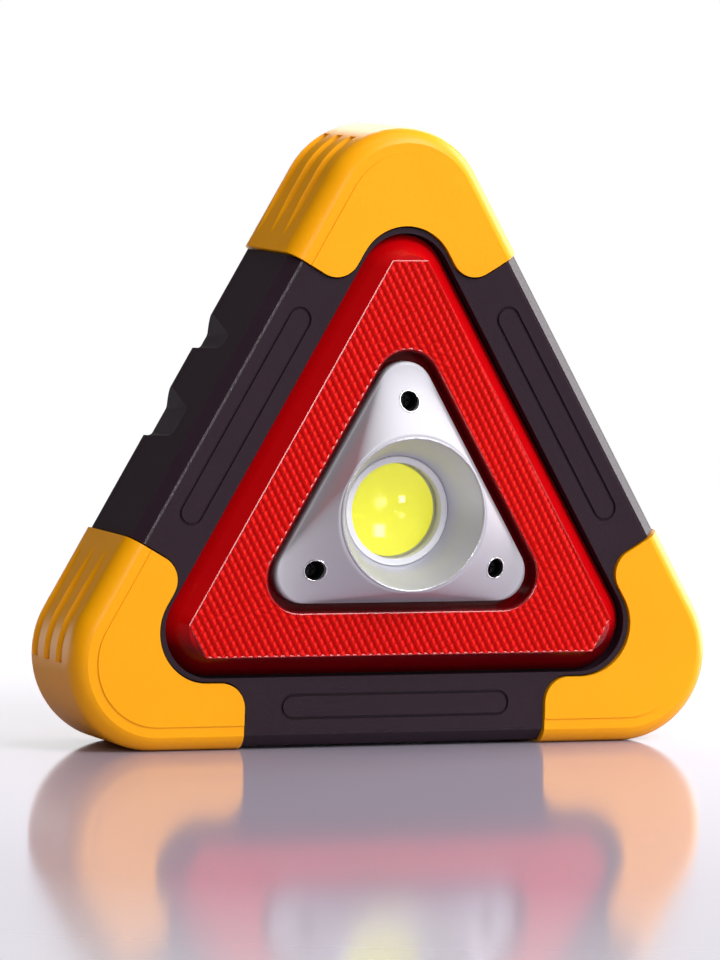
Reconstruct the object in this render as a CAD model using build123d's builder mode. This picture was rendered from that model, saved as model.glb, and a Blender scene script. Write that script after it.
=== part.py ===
"""Emergency work light in the form of a warning triangle, in millimetres.

X runs to the right seen from the front, Y to the back and Z up. The origin is on the ground, under the
middle of the bounding box. Depths are counted from the black front face towards the back.
"""

import os
from math import cos, radians, sin

from build123d import *

os.makedirs("parts", exist_ok=True)

# Overall size of the corner guards' outline, from which the rest follows
OUTER_INRADIUS = 65.5
OUTER_CORNER = 25.0
RIM_HEIGHT = 10.3
DEPTH_BEHIND_FACE = 38.5
TOTAL_DEPTH = RIM_HEIGHT + DEPTH_BEHIND_FACE
FRONT_Y = RIM_HEIGHT - TOTAL_DEPTH / 2
CENTRE_Z = OUTER_INRADIUS
CORNER_TURNS = {"bumper_top": 0, "bumper_left": 120, "bumper_right": 240}

# Corner guards
GUARD_PROUD = 0.8
GUARD_THICK = 3.2
GUARD_END = 45.0
GUARD_LOBE = 7.0
GUARD_EDGE = 6.0
GUARD_INNER = 46.75
GUARD_INNER_CORNER = 14.5
GUARD_GAP = 0.5
GUARD_STEP = 0.3
STEP_INRADIUS = 58.5
STEP_CORNER = 18.0
FLUTE_DEPTHS = (11.6, 21.2, 30.8)
FLUTE_RADIUS = 2.4
FLUTE_CUT = 1.5
FLUTE_WRAP = 32.0
FLUTE_END = 49.0
FLUTE_TAPER = 13.0

# Black body, made of two shells
BODY_INRADIUS = 64.5
BODY_CORNER = OUTER_CORNER - (OUTER_INRADIUS - BODY_INRADIUS)
BODY_DEPTH = DEPTH_BEHIND_FACE - GUARD_PROUD
FRONT_CHAMFER = 3.4
FRONT_EDGE = 0.4
BACK_ROUND = 5.0
SPLIT = 24.0
CORE_INRADIUS = OUTER_INRADIUS - GUARD_THICK - 0.1
CORE_CORNER = OUTER_CORNER - GUARD_THICK - 0.1
CORE_FRONT = GUARD_THICK - GUARD_PROUD + 0.1
CORE_BACK = DEPTH_BEHIND_FACE - GUARD_THICK - 0.1
CAVITY_INRADIUS = 59.2
CAVITY_CORNER = 18.7
CAVITY_FRONT = 5.6
CAVITY_BACK = 32.7
OPENING_INRADIUS = 45.4
OPENING_CORNER = 13.8
SCREW_SPOTS = [(side, along) for side in (30, 150, 270) for along in (-38.0, 38.0)]
SCREW_OUT = 55.8

# Red lens and the silver plate in it
LENS_TOP = -3.4
LENS_TOP_INRADIUS = 39.6
LENS_TOP_CORNER = 8.0
LENS_INRADIUS = 44.9
LENS_CORNER = 13.3
LENS_SHOULDER = 3.7
LENS_WALL = 1.8
LENS_FLANGE = 2.1
FLANGE_FRONT = 6.0
FLANGE_BACK = 7.5
LENS_WINDOW = 27.1
LENS_WINDOW_CORNER = 9.5
LENS_FLOOR = 2.0
LENS_FLOOR_BACK = 3.5
LENS_TOP_INSET = 1.3
FLOOR_HOLE_GAP = 3.75
PLATE_INRADIUS = 24.9
PLATE_CORNER = 8.1
PLATE_EDGE = -2.0
PLATE_WALL = 1.5
CUP_RIM = 21.5
CUP_FLOOR = 15.25
CUP_FLOOR_DEPTH = 2.3
PLATE_HOLE_CIRCLE = 31.0
PLATE_HOLE_RADIUS = 2.8

# Stand, folded into a pocket in the back
POCKET_HALF = 41.0
POCKET_TOP = 17.0
POCKET_BOTTOM = -40.5
POCKET_FLOOR = 30.0
POCKET_CORNER = 2.0
STAND_HALF = 40.5
STAND_LEG = 7.5
STAND_PIVOT = 12.0
STAND_LOW = -34.0
STAND_THICK = 5.0
STAND_DEPTH = 34.2
PIN_RADIUS = 1.5

# Battery bay, button and ports
CELL_RADIUS = 7.25
CELL_LENGTH = 50.5
BAY_HALF = 32.0
BAY_MIDDLE = -51.5
BAY_HEIGHT = 15.4
DOOR_HALF = 34.0
BAY_LEDGE = 4.5
BAY_SLACK = 0.4
BUTTON_Z = 45.0
BUTTON_RADIUS = 6.0
PORT_Z = 29.0
FLAP_HALF = 16.5
FLAP_HEIGHT = 12.0
FLAP_THICK = 1.8
BOARD_FRONT = 27.0
BOARD_BACK = 28.6


def level(depth, turn=0.0):
    """Plane facing the viewer at a depth behind the black front face, turned about the centre."""
    across = (cos(radians(turn)), 0, sin(radians(turn)))
    return Plane(origin=(0, FRONT_Y + depth, CENTRE_Z), x_dir=across, z_dir=(0, -1, 0))


def spot(side, out, along):
    """Point at a distance out towards a side and along it anticlockwise from its middle."""
    angle = radians(side)
    return (out * cos(angle) - along * sin(angle), out * sin(angle) + along * cos(angle))


def on_circle(radius, angle):
    return (radius * cos(radians(angle)), radius * sin(radians(angle)))


def triangle(inradius, corner):
    """Equilateral outline, one corner up, with rounded corners."""
    with BuildSketch(Plane.XY) as outline:
        Polygon(*[on_circle(2 * inradius, angle) for angle in (90, 210, 330)], align=None)
        fillet(outline.vertices(), corner)
    return outline.sketch


def corner_zone(gap=0.0):
    """Part of the front view that the top corner guard covers, grown by a gap."""
    end = GUARD_END - gap
    right = [spot(30, out, end) for out in (GUARD_INNER - GUARD_INNER_CORNER, 90)]
    top = 2 * OUTER_INRADIUS
    with BuildSketch(Plane.XY) as zone:
        Polygon(*right, (right[1][0], top), (-right[1][0], top), (-right[1][0], right[1][1]),
                (-right[0][0], right[0][1]), align=None)
        add(triangle(GUARD_INNER - gap, GUARD_INNER_CORNER - gap), mode=Mode.SUBTRACT)
        fillet(zone.vertices().sort_by(Axis.Y)[:2], GUARD_LOBE + gap)
    return zone.sketch


def save(builder, name):
    builder.part.label = name
    export_step(builder.part, f"parts/{name}.step")


# ---------------------------------------------------------------- shared solids, not parts themselves

with BuildPart() as core_block:
    with BuildSketch(level(CORE_BACK)):
        add(triangle(CORE_INRADIUS, CORE_CORNER))
    extrude(amount=CORE_BACK - CORE_FRONT)
    fillet(core_block.faces().filter_by(Axis.Y).edges(), GUARD_EDGE - GUARD_THICK)

with BuildPart() as guard_pocket:
    for turn in CORNER_TURNS.values():
        with BuildSketch(level(BODY_DEPTH + 2, turn)):
            add(corner_zone(GUARD_GAP))
        extrude(amount=BODY_DEPTH + 4)
    add(core_block.part, mode=Mode.SUBTRACT)

# Finger grooves in the left and right walls, deepest at the back edge and running out forwards
GRIP_PROFILES = ([(68, 27.5), (64.5, 25.0), (61.1, 18.5), (61.1, 14.2), (64.7, 12.3), (68, 11.0)],
                 [(68, 4.2), (64.5, 1.7), (61.1, -4.8), (61.1, -13.7), (64.7, -15.6), (68, -17.0)])
GRIP_RUN = 26.0
GRIP_RISE = 0.14

with BuildPart() as body_block:
    with BuildSketch(level(BODY_DEPTH)):
        add(triangle(BODY_INRADIUS, BODY_CORNER))
    extrude(amount=BODY_DEPTH)
    chamfer(body_block.faces().sort_by(Axis.Y)[0].edges(), FRONT_CHAMFER)
    chamfer(body_block.faces().sort_by(Axis.Y)[0].edges(), FRONT_EDGE)
    fillet(body_block.faces().sort_by(Axis.Y)[-1].edges(), BACK_ROUND)
    for side, sense in ((150, -1), (30, 1)):
        for profile in GRIP_PROFILES:
            with BuildSketch(level(BODY_DEPTH)) as groove:
                Polygon(*[spot(side, out, sense * along) for out, along in profile], align=None)
                fillet(groove.vertices().filter_by(lambda v: abs(v.X * cos(radians(side))
                       + v.Y * sin(radians(side)) - 61.1) < 0.1), 1.6)
            outward = (GRIP_RISE * cos(radians(side)), -1, GRIP_RISE * sin(radians(side)))
            extrude(amount=GRIP_RUN, dir=outward, mode=Mode.SUBTRACT)
    add(guard_pocket.part, mode=Mode.SUBTRACT)

# ---------------------------------------------------------------- corner guards

CENTRE_AXIS = Axis((0, FRONT_Y, CENTRE_Z), (0, 1, 0))
FLUTE_OUT = FLUTE_RADIUS - FLUTE_CUT
CORNER_MIDDLE = (0, 2 * (OUTER_INRADIUS - OUTER_CORNER))

# Cutter for the top guard's side grooves: round part of the corner, along the side, then tapering out
with BuildPart() as flutes:
    for depth in FLUTE_DEPTHS:
        with BuildLine(level(depth)) as run:
            wrap = CenterArc(CORNER_MIDDLE, OUTER_CORNER + FLUTE_OUT, 30, FLUTE_WRAP)
            Line(wrap @ 0, spot(30, OUTER_INRADIUS + FLUTE_OUT, FLUTE_END + FLUTE_TAPER))
        straight_end = Plane(origin=run.line.edges().sort_by(Axis.Z)[0].vertices().sort_by(Axis.Z)[0],
                             z_dir=(sin(radians(30)), 0, -cos(radians(30))))
        with BuildSketch(straight_end):
            Circle(FLUTE_RADIUS)
        sweep(path=run.line)
        with BuildSketch(straight_end):
            Circle(FLUTE_RADIUS)
        with BuildSketch(straight_end.offset(FLUTE_TAPER)):
            Circle(FLUTE_OUT)
        loft()
    mirror(about=Plane.YZ)

for name, turn in CORNER_TURNS.items():
    with BuildPart() as guard:
        with BuildSketch(level(DEPTH_BEHIND_FACE, turn)):
            add(triangle(OUTER_INRADIUS, OUTER_CORNER))
        extrude(amount=DEPTH_BEHIND_FACE + GUARD_PROUD)
        fillet(guard.faces().filter_by(Axis.Y).edges(), GUARD_EDGE)
        add(flutes.part.rotate(CENTRE_AXIS, -turn), mode=Mode.SUBTRACT)
        with BuildSketch(level(GUARD_STEP - GUARD_PROUD, turn)):
            add(triangle(OUTER_INRADIUS + 2, OUTER_CORNER + 2))
            add(triangle(STEP_INRADIUS, STEP_CORNER), mode=Mode.SUBTRACT)
        extrude(amount=GUARD_STEP, mode=Mode.SUBTRACT)
        with BuildSketch(level(DEPTH_BEHIND_FACE + 1, turn)):
            add(corner_zone())
        extrude(amount=DEPTH_BEHIND_FACE + GUARD_PROUD + 2, mode=Mode.INTERSECT)
        with BuildSketch(level(CORE_BACK + 0.1, turn)):
            add(triangle(CORE_INRADIUS + 0.1, CORE_CORNER + 0.1))
        extrude(amount=CORE_BACK - CORE_FRONT + 0.2, mode=Mode.SUBTRACT)
    save(guard, name)

# ---------------------------------------------------------------- front shell

PILL_OUT = 53.6
PILL_LENGTH = 68.2
PILL_HEIGHT = 7.2
PILL_LINE = 0.8
PILL_CUT = 0.7
EAR_CIRCLE = 87.0
BOSS_RADIUS = 3.5
PILOT_RADIUS = 1.2
SEAL_INRADIUS = 61.3
SEAL_CORNER = 20.8
SEAL_WIDTH = 1.0
SEAL_HALF = 0.6
SEAL_PLAY = 0.05
CARRIER_FRONT = 12.6
CARRIER_BACK = 14.6


def seal_ring(slack):
    """Sketch of the seal's ring, or of its slightly wider groove."""
    with BuildSketch(Plane.XY) as ring:
        add(triangle(SEAL_INRADIUS + slack, SEAL_CORNER + slack))
        add(triangle(SEAL_INRADIUS - SEAL_WIDTH - slack, SEAL_CORNER - SEAL_WIDTH - slack),
            mode=Mode.SUBTRACT)
    return ring.sketch


with BuildPart() as front_housing:
    add(body_block.part)
    with BuildSketch(level(BODY_DEPTH + 1)):
        add(triangle(BODY_INRADIUS + 2, BODY_CORNER))
    extrude(amount=BODY_DEPTH + 1 - SPLIT, mode=Mode.SUBTRACT)
    with BuildSketch(level(SPLIT)):
        add(triangle(CAVITY_INRADIUS, CAVITY_CORNER))
    extrude(amount=SPLIT - CAVITY_FRONT, mode=Mode.SUBTRACT)
    with BuildSketch(level(CAVITY_FRONT)):
        add(triangle(OPENING_INRADIUS, OPENING_CORNER))
    extrude(amount=CAVITY_FRONT, mode=Mode.SUBTRACT)
    # A fine groove outlines a long pill on each of the three sides
    for side in (30, 150, 270):
        with BuildSketch(level(PILL_CUT)):
            with Locations(Location((*spot(side, PILL_OUT, 0), 0), (0, 0, side + 90))):
                SlotOverall(PILL_LENGTH, PILL_HEIGHT)
                SlotOverall(PILL_LENGTH - 2 * PILL_LINE, PILL_HEIGHT - 2 * PILL_LINE,
                            mode=Mode.SUBTRACT)
        extrude(amount=PILL_CUT, mode=Mode.SUBTRACT)
    # Pillars for the screws that come from the back
    with BuildSketch(level(SPLIT)):
        with Locations(*[spot(side, SCREW_OUT, along) for side, along in SCREW_SPOTS]):
            Circle(BOSS_RADIUS)
            Circle(PILOT_RADIUS, mode=Mode.SUBTRACT)
    extrude(amount=SPLIT - CAVITY_FRONT)
    # Short pillars that the inner carrier's ears are screwed to
    with BuildSketch(level(CARRIER_FRONT)):
        with Locations(*[on_circle(EAR_CIRCLE, angle) for angle in (90, 210, 330)]):
            Circle(BOSS_RADIUS)
            Circle(PILOT_RADIUS, mode=Mode.SUBTRACT)
    extrude(amount=CARRIER_FRONT - CAVITY_FRONT)
    with BuildSketch(level(SPLIT)):
        add(seal_ring(SEAL_PLAY))
    extrude(amount=SEAL_HALF, mode=Mode.SUBTRACT)
save(front_housing, "front_housing")

with BuildPart() as housing_seal:
    with BuildSketch(level(SPLIT + SEAL_HALF)):
        add(seal_ring(0.0))
    extrude(amount=2 * SEAL_HALF)
save(housing_seal, "housing_seal")

# ---------------------------------------------------------------- back shell

POCKET_WALL = 5.0
POCKET_BACKING = 2.3
HEAD_RADIUS = 2.8
HEAD_THICK = 1.8
HEAD_SINK = 2.4
SHANK_RADIUS = 1.15
FLAP_RECESS = 2.2
FLAP_PLAY = 0.3
PORT_PLAY = 0.3
PIN_PLAY = 0.05
DOOR_PILOT_DEPTH = 7.0
SHANK_PLAY = 0.3
HEAD_PLAY = 0.2
POCKET_RIM = 5.0
BUTTON_PLAY = 0.3
C_PORT = (-8.5, 9.0, 3.2)
A_PORT = (6.5, 13.2, 5.7)
PORT_MOUTH = 35.2
DOOR_THICK = 2.0
DOOR_PLAY = 0.25
DOOR_SCREW_X = 30.0

with BuildPart() as rear_housing:
    add(body_block.part)
    with BuildSketch(level(SPLIT)):
        add(triangle(BODY_INRADIUS + 2, BODY_CORNER))
    extrude(amount=SPLIT + 1, mode=Mode.SUBTRACT)
    with BuildSketch(level(CAVITY_BACK)):
        add(triangle(CAVITY_INRADIUS, CAVITY_CORNER))
    extrude(amount=CAVITY_BACK - SPLIT, mode=Mode.SUBTRACT)
    # Walls of the stand's pocket, then the pocket itself with rounded lower corners
    pocket_middle = (POCKET_TOP + POCKET_BOTTOM) / 2
    pocket_height = POCKET_TOP - POCKET_BOTTOM
    with BuildSketch(level(CAVITY_BACK)):
        with Locations((0, pocket_middle)):
            RectangleRounded(2 * (POCKET_HALF + POCKET_WALL), pocket_height + POCKET_RIM, POCKET_CORNER)
    extrude(amount=CAVITY_BACK - POCKET_FLOOR + POCKET_BACKING)
    with BuildSketch(level(BODY_DEPTH)):
        with Locations((0, pocket_middle)):
            RectangleRounded(2 * POCKET_HALF, pocket_height, POCKET_CORNER)
    extrude(amount=BODY_DEPTH - POCKET_FLOOR, mode=Mode.SUBTRACT)
    for sense in (-1, 1):
        with BuildSketch(Plane(origin=(sense * (POCKET_HALF - 1), FRONT_Y + STAND_DEPTH,
                                       CENTRE_Z + STAND_PIVOT), z_dir=(sense, 0, 0))):
            Circle(PIN_RADIUS + PIN_PLAY)
        extrude(amount=POCKET_WALL, mode=Mode.SUBTRACT)
    # Battery bay, open at the back, with a ledge for its door
    with BuildSketch(level(BODY_DEPTH)):
        with Locations((0, BAY_MIDDLE)):
            Rectangle(2 * (BAY_HALF - BAY_LEDGE), BAY_HEIGHT - BAY_SLACK)
    extrude(amount=BODY_DEPTH - SPLIT, mode=Mode.SUBTRACT)
    with BuildSketch(level(BODY_DEPTH)):
        with Locations((0, BAY_MIDDLE)):
            RectangleRounded(2 * (DOOR_HALF + DOOR_PLAY), BAY_HEIGHT + 2 * DOOR_PLAY, 2)
    extrude(amount=DOOR_THICK, mode=Mode.SUBTRACT)
    with BuildSketch(level(BODY_DEPTH)):
        with Locations((DOOR_SCREW_X, BAY_MIDDLE)):
            Circle(PILOT_RADIUS)
    extrude(amount=DOOR_PILOT_DEPTH, mode=Mode.SUBTRACT)
    # Button hole in a shallow dish, and the two port openings in the flap's recess
    with BuildSketch(level(BODY_DEPTH)):
        with Locations((0, BUTTON_Z)):
            Circle(BUTTON_RADIUS + BUTTON_PLAY)
    extrude(amount=BODY_DEPTH - SPLIT, mode=Mode.SUBTRACT)
    with BuildSketch(level(BODY_DEPTH)):
        with Locations((0, PORT_Z)):
            Rectangle(2 * (FLAP_HALF + FLAP_PLAY), FLAP_HEIGHT + 2 * FLAP_PLAY)
    extrude(amount=FLAP_RECESS, mode=Mode.SUBTRACT)
    with BuildSketch(level(BODY_DEPTH)):
        for middle, width, height in (C_PORT, A_PORT):
            with Locations((middle, PORT_Z)):
                Rectangle(width + 2 * PORT_PLAY, height + 2 * PORT_PLAY)
    extrude(amount=BODY_DEPTH - SPLIT, mode=Mode.SUBTRACT)
    # Six screw pillars with sunk seats for the heads
    with BuildSketch(level(CAVITY_BACK)):
        with Locations(*[spot(side, SCREW_OUT, along) for side, along in SCREW_SPOTS]):
            Circle(BOSS_RADIUS)
    extrude(amount=CAVITY_BACK - SPLIT)
    with BuildSketch(level(BODY_DEPTH)):
        with Locations(*[spot(side, SCREW_OUT, along) for side, along in SCREW_SPOTS]):
            Circle(HEAD_RADIUS + HEAD_PLAY)
    extrude(amount=HEAD_SINK, mode=Mode.SUBTRACT)
    with BuildSketch(level(BODY_DEPTH)):
        with Locations(*[spot(side, SCREW_OUT, along) for side, along in SCREW_SPOTS]):
            Circle(PILOT_RADIUS + SHANK_PLAY)
    extrude(amount=BODY_DEPTH - SPLIT, mode=Mode.SUBTRACT)
    with BuildSketch(level(SPLIT + SEAL_HALF)):
        add(seal_ring(SEAL_PLAY))
    extrude(amount=SEAL_HALF, mode=Mode.SUBTRACT)
save(rear_housing, "rear_housing")


def cross_recess(size):
    """Plus-shaped outline of a cross recess."""
    with BuildSketch(Plane.XY) as plus:
        Rectangle(size, size / 4)
        Rectangle(size / 4, size)
    return plus.sketch


def screws(places, top, head_radius, shank_radius, reach, head_thick=HEAD_THICK, forwards=True):
    """Pan-head screws with cross recesses, their heads' tops at a depth and their shanks beyond."""
    run = 1 if forwards else -1
    with BuildPart() as group:
        with BuildSketch(level(top)):
            with Locations(*places):
                Circle(head_radius)
        extrude(amount=run * head_thick)
        fillet(group.edges().group_by(Axis.Y)[-1 if forwards else 0], head_thick / 2)
        with BuildSketch(level(top - run * head_thick)):
            with Locations(*places):
                Circle(shank_radius)
        extrude(amount=run * reach)
        with BuildSketch(level(top)):
            with Locations(*places):
                add(cross_recess(head_radius * 1.1))
        extrude(amount=run * head_thick * 0.6, mode=Mode.SUBTRACT)
    return group


save(screws([spot(side, SCREW_OUT, along) for side, along in SCREW_SPOTS],
            BODY_DEPTH - HEAD_SINK + HEAD_THICK, HEAD_RADIUS, SHANK_RADIUS, 22.0), "housing_screws")

# ---------------------------------------------------------------- red lens and its gasket

with BuildPart() as red_lens:
    with BuildSketch(level(LENS_SHOULDER)):
        add(triangle(LENS_INRADIUS, LENS_CORNER))
    with BuildSketch(level(LENS_TOP)):
        add(triangle(LENS_TOP_INRADIUS, LENS_TOP_CORNER))
    loft(ruled=True)
    with BuildSketch(level(FLANGE_FRONT)):
        add(triangle(LENS_INRADIUS, LENS_CORNER))
    extrude(amount=FLANGE_FRONT - LENS_SHOULDER)
    with BuildSketch(level(FLANGE_BACK)):
        add(triangle(LENS_INRADIUS + LENS_FLANGE, LENS_CORNER + LENS_FLANGE))
    extrude(amount=FLANGE_BACK - FLANGE_FRONT)
    with BuildSketch(level(LENS_SHOULDER)):
        add(triangle(LENS_INRADIUS - LENS_WALL, LENS_CORNER - LENS_WALL))
    with BuildSketch(level(LENS_TOP + LENS_WALL)):
        add(triangle(LENS_TOP_INRADIUS - LENS_TOP_INSET, LENS_TOP_CORNER - LENS_TOP_INSET))
    loft(ruled=True, mode=Mode.SUBTRACT)
    with BuildSketch(level(FLANGE_BACK)):
        add(triangle(LENS_INRADIUS - LENS_WALL, LENS_CORNER - LENS_WALL))
    extrude(amount=FLANGE_BACK - LENS_SHOULDER, mode=Mode.SUBTRACT)
    # The window wall goes down to a floor under the silver plate
    with BuildSketch(level(LENS_FLOOR_BACK)):
        add(triangle(LENS_WINDOW + LENS_WALL, LENS_WINDOW_CORNER + LENS_WALL))
    extrude(amount=LENS_FLOOR_BACK - LENS_TOP - LENS_WALL / 2)
    with BuildSketch(level(LENS_FLOOR)):
        add(triangle(LENS_WINDOW, LENS_WINDOW_CORNER))
    extrude(amount=LENS_FLOOR - LENS_TOP + 1, mode=Mode.SUBTRACT)
    with BuildSketch(level(LENS_FLOOR_BACK)):
        Circle(CUP_FLOOR + FLOOR_HOLE_GAP)
        with Locations(*[on_circle(PLATE_HOLE_CIRCLE, angle) for angle in (90, 210, 330)]):
            Circle(PILOT_RADIUS + 0.5)
    extrude(amount=LENS_FLOOR_BACK, mode=Mode.SUBTRACT)
save(red_lens, "red_lens")

with BuildPart() as lens_gasket:
    with BuildSketch(level(FLANGE_FRONT)):
        add(triangle(LENS_INRADIUS + LENS_FLANGE, LENS_CORNER + LENS_FLANGE))
        add(triangle(LENS_INRADIUS + 0.2, LENS_CORNER + 0.2), mode=Mode.SUBTRACT)
    extrude(amount=FLANGE_FRONT - CAVITY_FRONT)
save(lens_gasket, "lens_gasket")

# ---------------------------------------------------------------- silver plate with the light's cup

SECTION = Plane(origin=(0, FRONT_Y, CENTRE_Z), x_dir=(1, 0, 0), z_dir=(0, 0, 1))
PLATE_TIP = 2 * PLATE_INRADIUS - PLATE_CORNER
PLATE_STEPS = (1.0, 0.75, 0.5, 0.25, 0.0)
PLATE_CURVE = 1.45
RIM_WIDTH = 0.8
CUP_WALL = 1.4
COLLAR_BACK = 7.8
WELL_FLOOR = 0.6


def tent(inset):
    """Sections of the plate's hollow flank, from its triangular edge up to the cup's round rim."""
    for step in PLATE_STEPS:
        inradius = CUP_RIM + step * (PLATE_INRADIUS - CUP_RIM)
        tip = CUP_RIM + step * (PLATE_TIP - CUP_RIM)
        corner = min(2 * inradius - tip, inradius - 0.1)
        depth = PLATE_EDGE - (RIM_HEIGHT + PLATE_EDGE) * (1 - step) ** PLATE_CURVE
        yield inradius - inset, corner - inset, depth + inset


with BuildPart() as reflector_plate:
    for inradius, corner, depth in tent(0.0):
        with BuildSketch(level(depth)):
            add(triangle(inradius, corner))
    loft()
    with BuildSketch(level(LENS_FLOOR)):
        add(triangle(PLATE_INRADIUS, PLATE_CORNER))
    extrude(amount=LENS_FLOOR - PLATE_EDGE)
    for inradius, corner, depth in tent(PLATE_WALL):
        with BuildSketch(level(depth)):
            add(triangle(inradius, corner))
    loft(mode=Mode.SUBTRACT)
    with BuildSketch(level(LENS_FLOOR)):
        add(triangle(PLATE_INRADIUS - PLATE_WALL, PLATE_CORNER - PLATE_WALL))
    extrude(amount=LENS_FLOOR - PLATE_EDGE - PLATE_WALL, mode=Mode.SUBTRACT)
    # Cup wall and the collar behind it, then the cup's hollow
    with BuildSketch(SECTION):
        Polygon((0, -RIM_HEIGHT), (CUP_RIM, -RIM_HEIGHT), (CUP_FLOOR + CUP_WALL, CUP_FLOOR_DEPTH),
                (CUP_FLOOR + CUP_WALL, COLLAR_BACK), (0, COLLAR_BACK), align=None)
    revolve(axis=CENTRE_AXIS)
    with BuildSketch(SECTION):
        Polygon((0, -RIM_HEIGHT - 1), (CUP_RIM - RIM_WIDTH, -RIM_HEIGHT - 1),
                (CUP_RIM - RIM_WIDTH, -RIM_HEIGHT), (CUP_FLOOR, CUP_FLOOR_DEPTH),
                (CUP_FLOOR, COLLAR_BACK + 1), (0, COLLAR_BACK + 1), align=None)
    revolve(axis=CENTRE_AXIS, mode=Mode.SUBTRACT)
    # Screw wells: a tube to the lens's floor, a wide hole above and a small one through its end
    wells = [on_circle(PLATE_HOLE_CIRCLE, angle) for angle in (90, 210, 330)]
    with BuildSketch(level(LENS_FLOOR)):
        with Locations(*wells):
            Circle(PLATE_HOLE_RADIUS + 1.2)
    extrude(amount=LENS_FLOOR - PLATE_EDGE + 1.8)
    with BuildSketch(level(WELL_FLOOR)):
        with Locations(*wells):
            Circle(PLATE_HOLE_RADIUS)
    extrude(amount=RIM_HEIGHT, mode=Mode.SUBTRACT)
    with BuildSketch(level(LENS_FLOOR)):
        with Locations(*wells):
            Circle(PILOT_RADIUS + SHANK_PLAY)
    extrude(amount=3, mode=Mode.SUBTRACT)
save(reflector_plate, "reflector_plate")
save(screws(wells, WELL_FLOOR - HEAD_THICK, 2.4, SHANK_RADIUS, 9.0, forwards=False), "plate_screws")

# ---------------------------------------------------------------- light engine behind the cup

RING_INNER = 13.4
DOME_TOP = 3.0
DOME_RISE = 2.2
DOME_BACK = 6.6
COB_RADIUS = 12.5
COB_FRONT = 8.0
COB_BASE_FRONT = 8.5
COB_BASE_BACK = 9.5
SINK_RADIUS = 20.0
SINK_PLATE_BACK = 12.6
SINK_FIN_LENGTH = 26.0
COB_BASE_SIDE = 26.5
COB_BASE_CORNER = 2.0
SINK_FIN_BACK = 22.0
SINK_FINS = 7
FIN_PITCH = 4.0
FIN_THICK = 1.4

with BuildPart() as lens_ring:
    with BuildSketch(SECTION):
        Polygon((RING_INNER, CUP_FLOOR_DEPTH), (CUP_FLOOR - 0.05, CUP_FLOOR_DEPTH),
                (CUP_FLOOR - 0.05, COLLAR_BACK), (RING_INNER, COLLAR_BACK), align=None)
    revolve(axis=CENTRE_AXIS)
save(lens_ring, "lens_ring")

with BuildPart() as cob_lens:
    dome_radius = (RING_INNER ** 2 + DOME_RISE ** 2) / (2 * DOME_RISE)
    with BuildSketch(SECTION):
        with Locations((0, DOME_TOP + dome_radius)):
            Circle(dome_radius)
        with Locations((RING_INNER / 2, (DOME_TOP + DOME_BACK) / 2)):
            Rectangle(RING_INNER, DOME_BACK - DOME_TOP, mode=Mode.INTERSECT)
    revolve(axis=CENTRE_AXIS)
save(cob_lens, "cob_lens")

with BuildPart() as cob_phosphor:
    with BuildSketch(level(COB_BASE_FRONT)):
        Circle(COB_RADIUS)
    extrude(amount=COB_BASE_FRONT - COB_FRONT)
save(cob_phosphor, "cob_phosphor")

with BuildPart() as cob_base:
    with BuildSketch(level(COB_BASE_BACK)):
        RectangleRounded(COB_BASE_SIDE, COB_BASE_SIDE, COB_BASE_CORNER)
    extrude(amount=COB_BASE_BACK - COB_BASE_FRONT)
save(cob_base, "cob_base")

with BuildPart() as heat_sink:
    with BuildSketch(level(SINK_PLATE_BACK)):
        Circle(SINK_RADIUS)
    extrude(amount=SINK_PLATE_BACK - COB_BASE_BACK)
    with BuildSketch(level(SINK_FIN_BACK)):
        with GridLocations(FIN_PITCH, 1, SINK_FINS, 1):
            Rectangle(FIN_THICK, SINK_FIN_LENGTH)
    extrude(amount=SINK_FIN_BACK - SINK_PLATE_BACK)
save(heat_sink, "heat_sink")

# ---------------------------------------------------------------- red lights and their carrier

LED_OUT = 36.0
LED_PITCH = 11.0
LED_FLANGE_RADIUS = 1.8
LED_FLANGE = 1.0
LED_RADIUS = 1.5
LED_HEIGHT = 4.2
LED_DOME = 1.2
LED_BOARD = (42.0, 12.0)
LED_BOARD_WINDOW = (24.0, 7.0)
CARRIER = (43.8, 12.0)
EAR_LENGTH = 16.0
EAR_WIDTH = 9.0
LED_SPOTS = [(side, LED_PITCH * step) for side in (30, 150, 270)
             for step in (-3.5, -2.5, -1.5, -0.5, 0.5, 1.5, 2.5, 3.5)]
LED_BOARD_FRONT = 11.0

with BuildPart() as red_led_board:
    with BuildSketch(level(CARRIER_FRONT)):
        add(triangle(*LED_BOARD))
        add(triangle(*LED_BOARD_WINDOW), mode=Mode.SUBTRACT)
    extrude(amount=CARRIER_FRONT - LED_BOARD_FRONT)
save(red_led_board, "red_led_board")

with BuildPart() as red_leds:
    with BuildSketch(level(LED_BOARD_FRONT)):
        with Locations(*[spot(side, LED_OUT, along) for side, along in LED_SPOTS]):
            Circle(LED_FLANGE_RADIUS)
    extrude(amount=LED_FLANGE)
    with BuildSketch(level(LED_BOARD_FRONT - LED_FLANGE)):
        with Locations(*[spot(side, LED_OUT, along) for side, along in LED_SPOTS]):
            Circle(LED_RADIUS)
    extrude(amount=LED_HEIGHT - LED_FLANGE)
    fillet(red_leds.edges().group_by(Axis.Y)[0], LED_DOME)
save(red_leds, "red_leds")

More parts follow.
